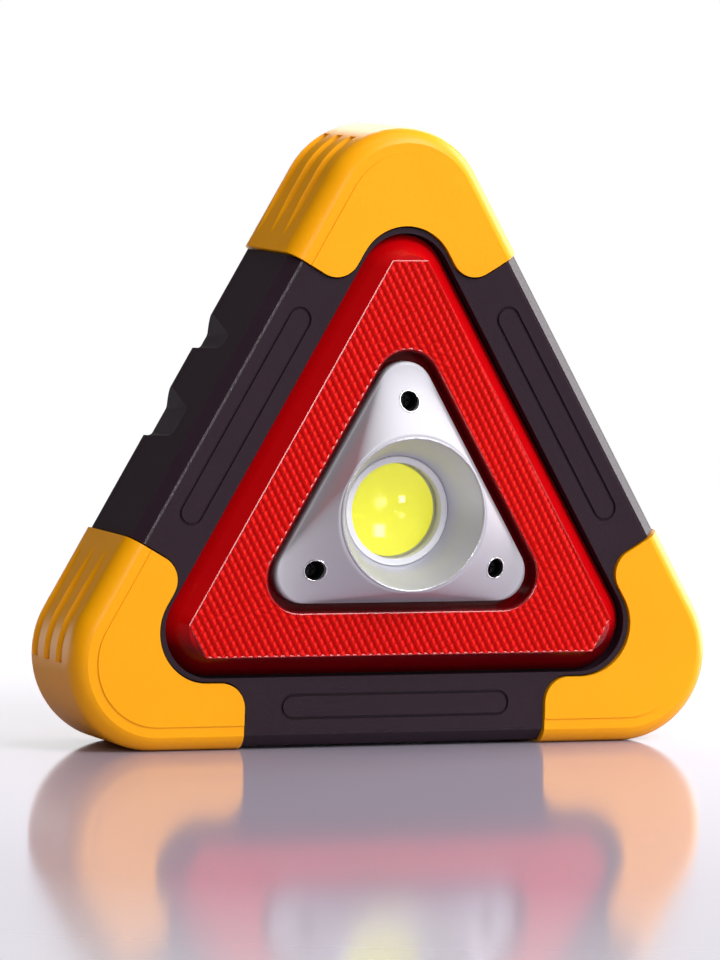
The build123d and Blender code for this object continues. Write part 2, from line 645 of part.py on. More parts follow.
ears = [on_circle(EAR_CIRCLE, angle) for angle in (90, 210, 330)]
with BuildPart() as inner_carrier:
    with BuildSketch(level(CARRIER_BACK)):
        add(triangle(*CARRIER))
        with Locations(*[Location((*on_circle(EAR_CIRCLE - EAR_LENGTH / 2, angle), 0), (0, 0, angle))
                         for angle in (90, 210, 330)]):
            SlotCenterToCenter(EAR_LENGTH, EAR_WIDTH)
        Circle(SINK_RADIUS - 1.3, mode=Mode.SUBTRACT)
        with Locations(*ears):
            Circle(PILOT_RADIUS + SHANK_PLAY, mode=Mode.SUBTRACT)
    extrude(amount=CARRIER_BACK - CARRIER_FRONT)
    # Pillars up to the lens's floor, under the silver plate's three screws
    with BuildSketch(level(CARRIER_FRONT)):
        with Locations(*wells):
            Circle(BOSS_RADIUS)
    extrude(amount=CARRIER_FRONT - LENS_FLOOR_BACK)
    with BuildSketch(level(CARRIER_FRONT)):
        with Locations(*wells):
            Circle(PILOT_RADIUS)
    extrude(amount=CARRIER_FRONT, mode=Mode.SUBTRACT)
save(inner_carrier, "inner_carrier")
save(screws(ears, CARRIER_BACK + HEAD_THICK, HEAD_RADIUS, SHANK_RADIUS, 7.5), "carrier_screws")

# ---------------------------------------------------------------- electronics

BUTTON_TOP = 37.4
BUTTON_FLANGE = (31.2, 32.3)
TACT_TOP = 29.7
PLUNGER_TOP = 30.0

with BuildPart() as control_board:
    with BuildSketch(level(BOARD_BACK)):
        Polygon((-30, 20.5), (30, 20.5), (16, 56), (-16, 56), align=None)
    extrude(amount=BOARD_BACK - BOARD_FRONT)
    # Driver coil, charger chip and a row of small parts on the front side
    with BuildSketch(level(BOARD_FRONT)):
        with Locations((-14, 32)):
            Rectangle(7, 7)
        with Locations((4, 30)):
            Rectangle(5, 4)
        with GridLocations(4, 1, 5, 1):
            with Locations((4, 42)):
                Rectangle(2, 1.2)
    extrude(amount=2.0)
save(control_board, "control_board")

with BuildPart() as tact_switch:
    with BuildSketch(level(TACT_TOP)):
        with Locations((0, BUTTON_Z)):
            Rectangle(6, 6)
    extrude(amount=TACT_TOP - BOARD_BACK)
    with BuildSketch(level(PLUNGER_TOP)):
        with Locations((0, BUTTON_Z)):
            Circle(1.75)
    extrude(amount=PLUNGER_TOP - TACT_TOP)
save(tact_switch, "tact_switch")

with BuildPart() as power_button:
    with BuildSketch(level(BUTTON_TOP)):
        with Locations((0, BUTTON_Z)):
            Circle(BUTTON_RADIUS)
    extrude(amount=BUTTON_TOP - BUTTON_FLANGE[0])
    fillet(power_button.edges().group_by(Axis.Y)[-1], 1.0)
    with BuildSketch(level(BUTTON_FLANGE[1])):
        with Locations((0, BUTTON_Z)):
            Circle(BUTTON_RADIUS + 1.5)
    extrude(amount=BUTTON_FLANGE[1] - BUTTON_FLANGE[0])
save(power_button, "power_button")

for name, (middle, width, height) in (("charge_port", C_PORT), ("usb_port", A_PORT)):
    with BuildPart() as port:
        with BuildSketch(level(PORT_MOUTH)):
            with Locations((middle, PORT_Z)):
                RectangleRounded(width, height, min(height / 2 - 0.1, 1.2))
        extrude(amount=PORT_MOUTH - BOARD_BACK)
        with BuildSketch(level(PORT_MOUTH)):
            with Locations((middle, PORT_Z)):
                RectangleRounded(width - 0.8, height - 0.8, min(height / 2 - 0.5, 0.8))
                Rectangle(width - 3, height / 4, mode=Mode.SUBTRACT)
        extrude(amount=5.5, mode=Mode.SUBTRACT)
    save(port, name)

FLAP_BACK = 37.6

with BuildPart() as port_cover:
    with BuildSketch(level(FLAP_BACK)):
        with Locations((0, PORT_Z)):
            Rectangle(2 * FLAP_HALF, FLAP_HEIGHT)
    extrude(amount=FLAP_THICK)
    fillet(port_cover.edges().filter_by(Axis.X).group_by(Axis.Z)[-1], FLAP_THICK / 2 - 0.02)
    with BuildSketch(level(FLAP_BACK)):
        with Locations((0, PORT_Z - FLAP_HEIGHT / 2 + 1.6)):
            SlotOverall(14, 1.4)
    extrude(amount=0.6, mode=Mode.SUBTRACT)
save(port_cover, "port_cover")

# ---------------------------------------------------------------- battery

CELL_DEPTHS = (13.4, 28.1)
CONTACT_THICK = 0.5
DOOR_SINK = 1.2
DOOR_HEAD = 1.1

with BuildPart() as battery_cells:
    for depth in CELL_DEPTHS:
        with BuildSketch(Plane(origin=(-CELL_LENGTH / 2, FRONT_Y + depth, CENTRE_Z + BAY_MIDDLE),
                               z_dir=(1, 0, 0))):
            Circle(CELL_RADIUS)
        extrude(amount=CELL_LENGTH - 1)
        with BuildSketch(Plane(origin=(CELL_LENGTH / 2 - 1, FRONT_Y + depth, CENTRE_Z + BAY_MIDDLE),
                               z_dir=(1, 0, 0))):
            Circle(2.6)
        extrude(amount=1)
save(battery_cells, "battery_cells")

with BuildPart() as battery_contacts:
    for sense in (-1, 1):
        for depth in CELL_DEPTHS:
            with BuildSketch(Plane(origin=(sense * (CELL_LENGTH / 2 + 0.05), FRONT_Y + depth,
                                           CENTRE_Z + BAY_MIDDLE), z_dir=(sense, 0, 0))):
                Rectangle(10, 10)
            extrude(amount=CONTACT_THICK)
save(battery_contacts, "battery_contacts")

with BuildPart() as battery_door:
    with BuildSketch(level(BODY_DEPTH)):
        with Locations((0, BAY_MIDDLE)):
            RectangleRounded(2 * DOOR_HALF, BAY_HEIGHT, 1.8)
    extrude(amount=DOOR_THICK - 0.1)
    with BuildSketch(level(BODY_DEPTH)):
        with GridLocations(3.0, 1, 9, 1):
            with Locations((-6, BAY_MIDDLE)):
                SlotOverall(9, 1.2, rotation=90)
    extrude(amount=0.5, mode=Mode.SUBTRACT)
    with BuildSketch(level(BODY_DEPTH)):
        with Locations((DOOR_SCREW_X, BAY_MIDDLE)):
            Circle(HEAD_RADIUS + 0.1)
    extrude(amount=DOOR_SINK, mode=Mode.SUBTRACT)
    with BuildSketch(level(BODY_DEPTH)):
        with Locations((DOOR_SCREW_X, BAY_MIDDLE)):
            Circle(PILOT_RADIUS + 0.2)
    extrude(amount=DOOR_THICK, mode=Mode.SUBTRACT)
save(battery_door, "battery_door")
save(screws([(DOOR_SCREW_X, BAY_MIDDLE)], BODY_DEPTH - DOOR_SINK + DOOR_HEAD, HEAD_RADIUS, SHANK_RADIUS,
            5.0, DOOR_HEAD), "door_screw")

# ---------------------------------------------------------------- stand

CROSS_HEIGHT = 7.0

with BuildPart() as stand_bail:
    stand_height = STAND_PIVOT + STAND_THICK / 2 - STAND_LOW
    with BuildSketch(level(STAND_DEPTH + STAND_THICK / 2)) as bail_outline:
        with Locations((0, STAND_LOW + stand_height / 2)):
            Rectangle(2 * STAND_HALF, stand_height)
        fillet(bail_outline.vertices().group_by(Axis.Y)[0], 7.0)
        with Locations((0, STAND_LOW + CROSS_HEIGHT + stand_height / 2)):
            Rectangle(2 * (STAND_HALF - STAND_LEG), stand_height, mode=Mode.SUBTRACT)
        inner = bail_outline.vertices().sort_by(lambda v: abs(v.Y - STAND_LOW - CROSS_HEIGHT))[:2]
        fillet(inner, 4.0)
    extrude(amount=STAND_THICK)
    fillet(stand_bail.edges().filter_by(Axis.X).group_by(Axis.Z)[-1], STAND_THICK / 2 - 0.02)
    with BuildSketch(Plane(origin=(-STAND_HALF - 1, FRONT_Y + STAND_DEPTH, CENTRE_Z + STAND_PIVOT),
                           z_dir=(1, 0, 0))):
        Circle(PIN_RADIUS)
    extrude(amount=2 * STAND_HALF + 2, mode=Mode.SUBTRACT)
save(stand_bail, "stand_bail")

with BuildPart() as stand_pins:
    for sense in (-1, 1):
        with BuildSketch(Plane(origin=(sense * (STAND_HALF - STAND_LEG), FRONT_Y + STAND_DEPTH,
                                       CENTRE_Z + STAND_PIVOT), z_dir=(sense, 0, 0))):
            Circle(PIN_RADIUS)
        extrude(amount=STAND_LEG + 3.5)
save(stand_pins, "stand_pins")
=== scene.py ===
from math import atan2, cos, degrees, pi, radians, sin, sqrt, tan, tau

import bmesh
import bpy
from mathutils import Matrix, Vector
from mathutils.bvhtree import BVHTree


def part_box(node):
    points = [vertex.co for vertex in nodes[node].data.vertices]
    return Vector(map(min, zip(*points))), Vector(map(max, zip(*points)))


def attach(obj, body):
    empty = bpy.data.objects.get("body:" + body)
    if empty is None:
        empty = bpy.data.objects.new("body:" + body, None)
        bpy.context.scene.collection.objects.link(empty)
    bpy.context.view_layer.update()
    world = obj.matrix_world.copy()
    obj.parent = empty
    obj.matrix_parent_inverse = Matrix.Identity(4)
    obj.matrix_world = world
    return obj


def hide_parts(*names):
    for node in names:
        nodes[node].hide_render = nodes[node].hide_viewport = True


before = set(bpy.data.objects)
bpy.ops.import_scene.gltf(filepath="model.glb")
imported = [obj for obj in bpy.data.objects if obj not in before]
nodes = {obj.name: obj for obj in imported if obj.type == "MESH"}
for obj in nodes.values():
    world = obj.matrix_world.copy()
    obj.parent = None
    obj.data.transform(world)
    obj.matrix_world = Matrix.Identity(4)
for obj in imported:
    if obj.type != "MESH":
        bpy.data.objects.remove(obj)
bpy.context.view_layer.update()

# ---------------------------------------------------------------- studio and camera
# The light stands on a glossy white sheet in a bright studio. A long lens looks at it from a little to
# the left and just above. The big soft lights stand to the right, so the left walls fall into shade.

MM = 0.001
CENTRE_HEIGHT = 65.5 * MM
front_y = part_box("front_housing")[0].y
centre = Vector((0.0, front_y, CENTRE_HEIGHT))

CAMERA_TURN = radians(22.57)
CAMERA_RISE = radians(4.85)
CAMERA_ROLL = radians(1.34)
CAMERA_DISTANCE = 2.18
CAMERA_LENS = 295.9
AIM_LEFT = 11.0 * MM
AIM_UP = 8.75 * MM


def camera_axes(away):
    """Right and up directions of a camera that looks against `away`, rolled a little."""
    level_right = (-away).cross(Vector((0, 0, 1))).normalized()
    level_up = level_right.cross(-away)
    right = cos(CAMERA_ROLL) * level_right + sin(CAMERA_ROLL) * level_up
    up = cos(CAMERA_ROLL) * level_up - sin(CAMERA_ROLL) * level_right
    return right, up


back = Vector((-sin(CAMERA_TURN) * cos(CAMERA_RISE), -cos(CAMERA_TURN) * cos(CAMERA_RISE),
               sin(CAMERA_RISE)))
right, up = camera_axes(back)
eye = centre + back * CAMERA_DISTANCE
away = (eye - (centre - right * AIM_LEFT + up * AIM_UP)).normalized()
right, up = camera_axes(away)
camera_data = bpy.data.cameras.new("camera")
camera_data.lens = CAMERA_LENS
camera_data.clip_start = 0.1
camera_data.clip_end = 50.0
camera = bpy.data.objects.new("camera", camera_data)
camera.matrix_world = Matrix.Translation(eye) @ Matrix((right, up, away)).transposed().to_4x4()
bpy.context.collection.objects.link(camera)
bpy.context.scene.camera = camera
bpy.context.scene.view_settings.view_transform = "Standard"


class Wire:
    """A value in a node tree. Each arithmetic operator on it adds a Math node."""

    def __init__(self, tree, socket):
        self.tree, self.socket = tree, socket

    def calculate(self, operation, *values):
        return self.tree.node("ShaderNodeMath", {"operation": operation}, dict(enumerate(values)))

    def __add__(self, other):
        return self.calculate("ADD", self, other)

    def __sub__(self, other):
        return self.calculate("SUBTRACT", self, other)

    def __rsub__(self, other):
        return self.calculate("SUBTRACT", other, self)

    def __mul__(self, other):
        return self.calculate("MULTIPLY", self, other)

    def __truediv__(self, other):
        return self.calculate("DIVIDE", self, other)

    def __gt__(self, other):
        return self.calculate("GREATER_THAN", self, other)

    def bounded(self):
        return self.calculate("MAXIMUM", self.calculate("MINIMUM", self, 1.0), 0.0)

    __radd__, __rmul__ = __add__, __mul__


class Tree:
    """A node tree under construction."""

    def __init__(self, tree):
        self.tree = tree

    def node(self, kind, settings=None, inputs=None, output=0):
        made = self.tree.nodes.new(kind)
        for key, value in (settings or {}).items():
            setattr(made, key, value)
        for key, value in (inputs or {}).items():
            if isinstance(value, Wire):
                self.tree.links.new(value.socket, made.inputs[key])
            else:
                made.inputs[key].default_value = value
        return Wire(self, made.outputs[output])


class Finish(Tree):
    """A material under construction round its own Principled shader."""

    def __init__(self, name, **constants):
        self.material = bpy.data.materials.new(name)
        self.material.use_nodes = True
        super().__init__(self.material.node_tree)
        self.shader = self.tree.nodes["Principled BSDF"]
        for label, value in constants.items():
            self.shader.inputs[label.replace("_", " ").title().replace("Ior", "IOR")].default_value = value

    def place(self):
        return self.node("ShaderNodeTexCoord", output="Object")

    def noise(self, scale, detail=2.0):
        return self.node("ShaderNodeTexNoise", inputs={"Vector": self.place(), "Scale": scale,
                                                       "Detail": detail})

    def blend(self, factor, first, second):
        ends = {key: value if isinstance(value, Wire) else (*value, 1.0)
                for key, value in ((6, first), (7, second))}
        return self.node("ShaderNodeMix", {"data_type": "RGBA"}, {0: factor, **ends}, output=2)

    def bump(self, height, distance, strength=1.0):
        return self.node("ShaderNodeBump", inputs={"Height": height, "Distance": distance,
                                                   "Strength": strength})

    def feed(self, **wires):
        for label, wire in wires.items():
            self.tree.links.new(wire.socket, self.shader.inputs[label.replace("_", " ").title()])
        return self.material


# The room is dim behind the left side, brighter to the right and above, and white along the far horizon
ROOM_DIM = 0.14
ROOM_RANGE = 0.30
BRIGHT_SIDE = (0.66, -0.50, 0.56)
HORIZON_BRIGHT = 1.7
HORIZON_TOP = 0.17
HORIZON_BLUR = 0.07
HORIZON_FAR = 0.3
world = bpy.data.worlds.new("studio")
world.use_nodes = True
sky = Tree(world.node_tree)
direction = sky.node("ShaderNodeTexCoord", output="Generated")
towards = sky.node("ShaderNodeVectorMath", {"operation": "DOT_PRODUCT"}, {0: direction, 1: BRIGHT_SIDE},
                   output="Value")
seen = sky.node("ShaderNodeLightPath", output="Is Camera Ray")
height = sky.node("ShaderNodeSeparateXYZ", inputs={0: direction}, output="Z")
depth = sky.node("ShaderNodeSeparateXYZ", inputs={0: direction}, output="Y")
horizon = ((HORIZON_TOP - height) / HORIZON_BLUR).bounded() * (depth + HORIZON_FAR).bounded()
room = (ROOM_DIM + ROOM_RANGE * towards) * (1.0 - horizon) + HORIZON_BRIGHT * horizon
paper = world.node_tree.nodes["Background"]
paper.inputs["Color"].default_value = (1.0, 1.0, 1.0, 1.0)
world.node_tree.links.new((room * (1.0 - seen) + seen).socket, paper.inputs["Strength"])
bpy.context.scene.world = world


def softbox(name, place, size, power):
    """Soft rectangular light that looks at the middle of the object."""
    data = bpy.data.lights.new(name, "AREA")
    data.shape = "RECTANGLE"
    data.size, data.size_y = size
    data.energy = power
    lamp = bpy.data.objects.new(name, data)
    lamp.location = place
    lamp.rotation_euler = (centre - Vector(place)).to_track_quat("-Z", "Y").to_euler()
    bpy.context.collection.objects.link(lamp)


# Each light has a place, a size and a power in watts
SOFTBOXES = {
    "right_light": ((1.3, 0.25, 0.45), (0.9, 1.2), 24.0),
    "front_light": ((0.8, -1.15, 1.35), (1.0, 0.9), 31.0),
    "top_light": ((0.2, -0.3, 1.6), (1.0, 0.8), 4.0),
    "edge_light": ((-0.5, -1.65, 0.62), (0.20, 0.30), 6.0),
    "back_light": ((0.7, 1.5, 0.9), (0.8, 0.8), 9.0),
    "spot_light": ((0.88, -1.68, 0.17), (0.16, 0.16), 1.2),
}
for name, (place, size, power) in SOFTBOXES.items():
    softbox(name, place, size, power)

FLOOR_HALF = 1.3
FADE_START = 0.30
FADE_END = 0.9
floor_mesh = bpy.data.meshes.new("floor")
floor_mesh.from_pydata([(-FLOOR_HALF, -FLOOR_HALF, 0), (FLOOR_HALF, -FLOOR_HALF, 0),
                        (FLOOR_HALF, FLOOR_HALF, 0), (-FLOOR_HALF, FLOOR_HALF, 0)], [], [(0, 1, 2, 3)])
floor = bpy.data.objects.new("floor", floor_mesh)
bpy.context.collection.objects.link(floor)
# Painted shade: the sheet is a grey violet, standing in for the shade and tint a white sheet shows near the
# object, and it fades to clear with distance so the white paper shows beyond
sheet = Finish("white_acrylic", base_color=(0.44, 0.39, 0.48, 1.0), roughness=0.10, ior=1.6)
distance = sheet.node("ShaderNodeVectorMath", {"operation": "LENGTH"}, {0: sheet.place()}, output="Value")
sheet.feed(alpha=((FADE_END - distance) * (1.0 / (FADE_END - FADE_START))).bounded())
floor_mesh.materials.append(sheet.material)

# ---------------------------------------------------------------- corner guards
# Three guards of tough yellow plastic, moulded with a satin skin and snapped over the corners.
# Their colour drifts a little, the skin has faint orange peel, and handling has dulled it in patches.


def dress(material, *names):
    """Gives CAD nodes a material."""
    for name in names:
        slots = nodes[name].material_slots
        for slot in slots:
            slot.material = material
        if not slots:
            nodes[name].data.materials.append(material)


def moulded(name, dark, light, roughness, grain, depth, patch=0.10, **constants):
    """Moulded plastic: two close colours that drift over it, a fine skin and rubbed patches."""
    finish = Finish(name, **constants)
    drift = finish.noise(35.0)
    rubbed = finish.noise(14.0, 5.0)
    skin = finish.noise(grain, 3.0)
    return finish.feed(base_color=finish.blend(drift, dark, light),
                       roughness=roughness + 0.5 * patch * skin + patch * rubbed,
                       normal=finish.bump(skin, depth))


dress(moulded("guard_plastic", (0.92, 0.36, 0.001), (1.0, 0.42, 0.002), 0.26, 900.0, 0.00004,
              specular_ior_level=0.22),
      "bumper_top", "bumper_left", "bumper_right")

# ---------------------------------------------------------------- black body
# The body shells, stand and battery door have the fine matt grain of a spark-eroded mould. It is coarser
# on the walls, and handling has polished the front edges. The black has a faint violet cast.

GRIP_START = 3.1 * MM
GRIP_BLUR = 0.3 * MM
EDGE_FRONT = 0.03 * MM
EDGE_BACK = 0.3 * MM
black = Finish("body_plastic", specular_ior_level=0.20)
behind = black.node("ShaderNodeSeparateXYZ", inputs={0: black.place()}, output="Y") - front_y
grip = ((behind - GRIP_START) * (1.0 / GRIP_BLUR)).bounded()
edge = (behind > EDGE_FRONT) * (1.0 - (behind > EDGE_BACK))
eroded = black.noise(2600.0, 3.0)
black.feed(base_color=black.blend(black.noise(35.0), (0.018, 0.007, 0.013), (0.024, 0.011, 0.019)),
           roughness=0.36 + 0.05 * eroded + 0.08 * black.noise(14.0, 5.0) + 0.4 * grip - 0.24 * edge,
           normal=black.bump(eroded, 0.00006))
dress(black.material, "front_housing", "rear_housing", "stand_bail", "battery_door")

# ---------------------------------------------------------------- red lens
# A red moulding with plain bevelled sides. Its flat face carries a sheet of small square prisms, which
# throw light back, framed by a fine lip.

FLAT_DEPTH = -3.4 * MM
FLAT_INRADIUS = 39.2 * MM
FLAT_CORNER_CUT = 69.5 * MM
WINDOW_INRADIUS = 27.8 * MM
WINDOW_CORNER = 10.2 * MM
PRISM_PITCH = 2.07 * MM
PRISM_HEIGHT = 0.62 * MM
PRISM_NOTCH = 0.55
PRISM_TURN = radians(29.0)
PRISM_SHEET = 0.3 * MM
FOOT_SHADE_START = 31 * MM
FOOT_SHADE_BLUR = 6 * MM
CELLS = 82
HAIR = 0.02 * MM
WHOLE_SHEET = 80 * MM
SIDES = (30, 150, 270)
CORNERS = (90, 210, 330)


def piece(name, mesh, material, body="body"):
    """Links a finished mesh as a piece that rides on a body."""
    made = bpy.data.objects.new(name, mesh)
    bpy.context.collection.objects.link(made)
    mesh.materials.clear()
    mesh.materials.append(material)
    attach(made, body)
    return made


def around(angle):
    """Unit vector in the front view, as X and Z."""
    return Vector((cos(radians(angle)), sin(radians(angle))))


def rounded_radius(angle, inradius, corner):
    """Distance from the centre to a rounded triangle's outline, one corner up, in a direction."""
    offset = abs((angle - 90 + 60) % 120 - 60)
    middle = 2 * (inradius - corner)
    tangent = degrees(atan2(sin(radians(60)) * corner, 2 * inradius - 1.5 * corner))
    if offset >= tangent:
        return inradius / cos(radians(60 - offset))
    slide = middle * sin(radians(offset))
    return middle * cos(radians(offset)) + sqrt(max(corner ** 2 - slide ** 2, 0.0))


def outline(inradius, corner, depth, arc_steps=10):
    """Points of a rounded triangle in the front view at a depth."""
    points = []
    for middle_angle in CORNERS:
        for step in range(arc_steps + 1):
            angle = middle_angle - 60 + 120 * step / arc_steps
            flat = 2 * (inradius - corner) * around(middle_angle) + corner * around(angle)
            points.append(centre + Vector((flat.x, depth, flat.y)))
    return points


def tree_group(name, inputs):
    """An empty shape-building node group with named inputs."""
    group = bpy.data.node_groups.new(name, "GeometryNodeTree")
    group.interface.new_socket("Geometry", in_out="OUTPUT", socket_type="NodeSocketGeometry")
    sockets = {label: group.interface.new_socket(label, in_out="INPUT", socket_type=kind)
               for label, kind in inputs.items()}
    entry = group.nodes.new("NodeGroupInput")
    exit_node = group.nodes.new("NodeGroupOutput")
    tree = Tree(group)
    values = {label: Wire(tree, entry.outputs[label]) for label in inputs}
    return tree, values, exit_node, {label: socket.identifier for label, socket in sockets.items()}


def grown(name, tree, exit_node, result, identifiers, settings):
    """Evaluates a shape-building node group and gives its result as a plain mesh."""
    tree.tree.links.new(result.socket, exit_node.inputs[0])
    host = bpy.data.objects.new(name, bpy.data.meshes.new(name))
    bpy.context.collection.objects.link(host)
    modifier = host.modifiers.new("build", "NODES")
    modifier.node_group = tree.tree
    for label, value in settings.items():
        modifier[identifiers[label]] = value
    seen_object = host.evaluated_get(bpy.context.evaluated_depsgraph_get())
    mesh = bpy.data.meshes.new_from_object(seen_object)
    mesh.name = name
    bpy.data.objects.remove(host)
    return mesh


prism_red = Finish("prism_red", roughness=0.38, specular_ior_level=0.05)
# Painted light: the prisms run from dark red in the valleys, painted shade, to bright red on the crests,
# painted glints, with a little random spread
painted_glint_and_shade = prism_red.node("ShaderNodeSeparateXYZ", inputs={0: prism_red.place()}, output="Y")
painted_glint_and_shade = ((centre.y + FLAT_DEPTH - painted_glint_and_shade) * (1.0 / PRISM_HEIGHT)).bounded()
painted_glint_and_shade = painted_glint_and_shade * (0.75 + 0.5 * prism_red.noise(300.0))
prism_red.feed(base_color=prism_red.blend(painted_glint_and_shade.bounded(), (0.36, 0.0002, 0.0003), (0.96, 0.014, 0.010)))

# A square lattice in relief: sharp ridges along the rows, with a shallower notch across each cell
tree, value, exit_node, identifiers = tree_group("prisms", {
    "Pitch": "NodeSocketFloat", "Height": "NodeSocketFloat", "Notch": "NodeSocketFloat",
    "Cells": "NodeSocketInt", "Turn": "NodeSocketFloat", "Material": "NodeSocketMaterial"})
span = value["Pitch"] * value["Cells"]
steps = 2 * value["Cells"] + 1
lattice = tree.node("GeometryNodeMeshGrid", inputs={"Size X": span, "Size Y": span, "Vertices X": steps,
                                                    "Vertices Y": steps})
here = tree.node("GeometryNodeInputPosition")
waves = []
for axis in ("X", "Y"):
    along = tree.node("ShaderNodeSeparateXYZ", inputs={0: here}, output=axis)
    waves.append(along.calculate("PINGPONG", along, value["Pitch"] * 0.5) / (value["Pitch"] * 0.5))
relief = value["Height"] * waves[0] * (1.0 - value["Notch"] * (1.0 - waves[1]))
raised = tree.node("GeometryNodeSetPosition",
                   inputs={"Geometry": lattice,
                           "Offset": tree.node("ShaderNodeCombineXYZ", inputs={"Z": relief})})
turned = tree.node("GeometryNodeTransform",
                   inputs={"Geometry": tree.node("GeometryNodeRealizeInstances", inputs={0: raised}),
                           "Rotation": tree.node("ShaderNodeCombineXYZ", inputs={"Z": value["Turn"]})})
result = tree.node("GeometryNodeSetMaterial", inputs={"Geometry": turned, "Material": value["Material"]})
prisms = grown("lens_prisms", tree, exit_node, result, identifiers,
               {"Pitch": PRISM_PITCH, "Height": PRISM_HEIGHT, "Notch": PRISM_NOTCH, "Cells": CELLS,
                "Turn": PRISM_TURN, "Material": prism_red.material})


def keep_inside(sheet_mesh, normal, reach):
    """Cuts a flat sheet off beyond a straight line."""
    everything = sheet_mesh.verts[:] + sheet_mesh.edges[:] + sheet_mesh.faces[:]
    bmesh.ops.bisect_plane(sheet_mesh, geom=everything, plane_co=(*(normal * reach), 0.0),
                           plane_no=(*normal, 0.0), clear_outer=True)


def cut_window(sheet_mesh, inradius, corner, arc_steps=6):
    """Cuts a rounded triangle out of a flat sheet, one straight stretch at a time."""
    stretches = [(around(side), inradius, Vector((0.0, 0.0)), WHOLE_SHEET) for side in SIDES]
    for middle_angle in CORNERS:
        hub = 2 * (inradius - corner) * around(middle_angle)
        for step in range(arc_steps):
            normal = around(middle_angle - 60 + 120 * (step + 0.5) / arc_steps)
            stretches.append((normal, normal.dot(hub) + corner, hub, corner + 2 * PRISM_PITCH))
    for normal, reach, hub, near in stretches:
        close = [face for face in sheet_mesh.faces
                 if abs(normal.dot(face.calc_center_median().xy) - reach) < 2 * PRISM_PITCH
                 and (face.calc_center_median().xy - hub).length < near]
        geometry = {item for face in close for item in (face, *face.edges, *face.verts)}
        bmesh.ops.bisect_plane(sheet_mesh, geom=list(geometry), plane_co=(*(normal * reach), 0.0),
                               plane_no=(*normal, 0.0))
    inside = []
    for face in sheet_mesh.faces:
        flat = face.calc_center_median().xy
        angle = degrees(atan2(flat.y, flat.x))
        if flat.length < rounded_radius(angle, inradius, corner) - HAIR:
            inside.append(face)
    bmesh.ops.delete(sheet_mesh, geom=inside, context="FACES")


cut = bmesh.new()
cut.from_mesh(prisms)
for side in SIDES:
    keep_inside(cut, around(side), FLAT_INRADIUS)
for corner_angle in CORNERS:
    keep_inside(cut, around(corner_angle), FLAT_CORNER_CUT)
cut_window(cut, WINDOW_INRADIUS, WINDOW_CORNER)
for vert in cut.verts:
    vert.co = centre + Vector((vert.co.x, FLAT_DEPTH - HAIR - vert.co.z, vert.co.y))
bmesh.ops.recalc_face_normals(cut, faces=cut.faces)
if sum(face.normal.y for face in cut.faces) > 0:
    bmesh.ops.reverse_faces(cut, faces=cut.faces)
bmesh.ops.solidify(cut, geom=cut.faces[:], thickness=PRISM_SHEET)
cut.to_mesh(prisms)
cut.free()
piece("lens_prisms", prisms, prism_red.material)


def looped(columns, smooth=True):
    """Closed mesh of sections that follow each other round a ring."""
    rows = len(columns[0])
    count = len(columns)
    faces = [(column * rows + row, (column + 1) % count * rows + row,
              (column + 1) % count * rows + (row + 1) % rows, column * rows + (row + 1) % rows)
             for column in range(count) for row in range(rows)]
    mesh = bpy.data.meshes.new("ring")
    mesh.from_pydata([point for column in columns for point in column], [], faces)
    shape = bmesh.new()
    shape.from_mesh(mesh)
    bmesh.ops.recalc_face_normals(shape, faces=shape.faces)
    for face in shape.faces:
        face.smooth = smooth
    shape.to_mesh(mesh)
    shape.free()
    return mesh


# A fine roof-shaped lip frames the sheet outside and round the window
LIP_HALF = 0.24 * MM
LIP_LOW = 0.12 * MM
LIP_PITCH = radians(22.5)
LIP_TOP = LIP_LOW + LIP_HALF * tan(LIP_PITCH)
LIP_ROOT = 0.4 * MM
LIP_SECTION = [(-LIP_HALF, -LIP_ROOT), (-LIP_HALF, LIP_LOW), (0.0, LIP_TOP), (LIP_HALF, LIP_LOW),
               (LIP_HALF, -LIP_ROOT)]


def sheet_frame(grow, depth):
    """Points of the prism sheet's outline, a triangle with straight cut corners, grown by a margin."""
    points = []
    for corner_angle in CORNERS:
        reach = FLAT_CORNER_CUT + grow
        half = (2 * (FLAT_INRADIUS + grow) - reach) * tan(radians(30))
        for sense in (-1, 1):
            flat = reach * around(corner_angle) + sense * half * around(corner_angle + 90)
            points.append(centre + Vector((flat.x, depth, flat.y)))
    return points


def window_frame(grow, depth):
    """Points of the window's outline, grown by a margin."""
    return outline(WINDOW_INRADIUS + grow, WINDOW_CORNER + grow, depth)


lip_red = Finish("lip_red")
lip_red.feed(base_color=lip_red.blend(lip_red.noise(120.0), (0.42, 0.002, 0.003), (0.60, 0.006, 0.006)),
             roughness=0.18 + 0.06 * lip_red.noise(240.0))
lips = bmesh.new()
for path in (sheet_frame, window_frame):
    rings = [path(grow, FLAT_DEPTH - lift) for grow, lift in LIP_SECTION]
    ring_mesh = looped(list(zip(*rings)), smooth=False)
    lips.from_mesh(ring_mesh)
lip_mesh = bpy.data.meshes.new("lens_lips")
lips.to_mesh(lip_mesh)
lips.free()
piece("lens_lips", lip_mesh, lip_red.material)

# Painted shade: the red is darker in a band round the window, a painted shadow gap, and towards the bottom of
# the lens, painted shade on the bevel that faces down
WINDOW_SHADOW_BAND = 0.6 * MM
lens = Finish("lens_plastic", transmission_weight=0.12, specular_ior_level=0.10)
reaches = []
for side in SIDES:
    normal = Vector((around(side).x, 0.0, around(side).y))
    along = lens.node("ShaderNodeVectorMath", {"operation": "DOT_PRODUCT"}, {0: lens.place(), 1: normal},
                      output="Value")
    reaches.append(along - centre.dot(normal))
farthest = reaches[0].calculate("MAXIMUM", reaches[0], reaches[1])
farthest = farthest.calculate("MAXIMUM", farthest, reaches[2])
window_shadow_gap = (WINDOW_INRADIUS + WINDOW_SHADOW_BAND - farthest) > 0.0
foot_shade = ((reaches[2] - FOOT_SHADE_START) * (1.0 / FOOT_SHADE_BLUR)).bounded()
painted_lens_shade = (window_shadow_gap + foot_shade).bounded()
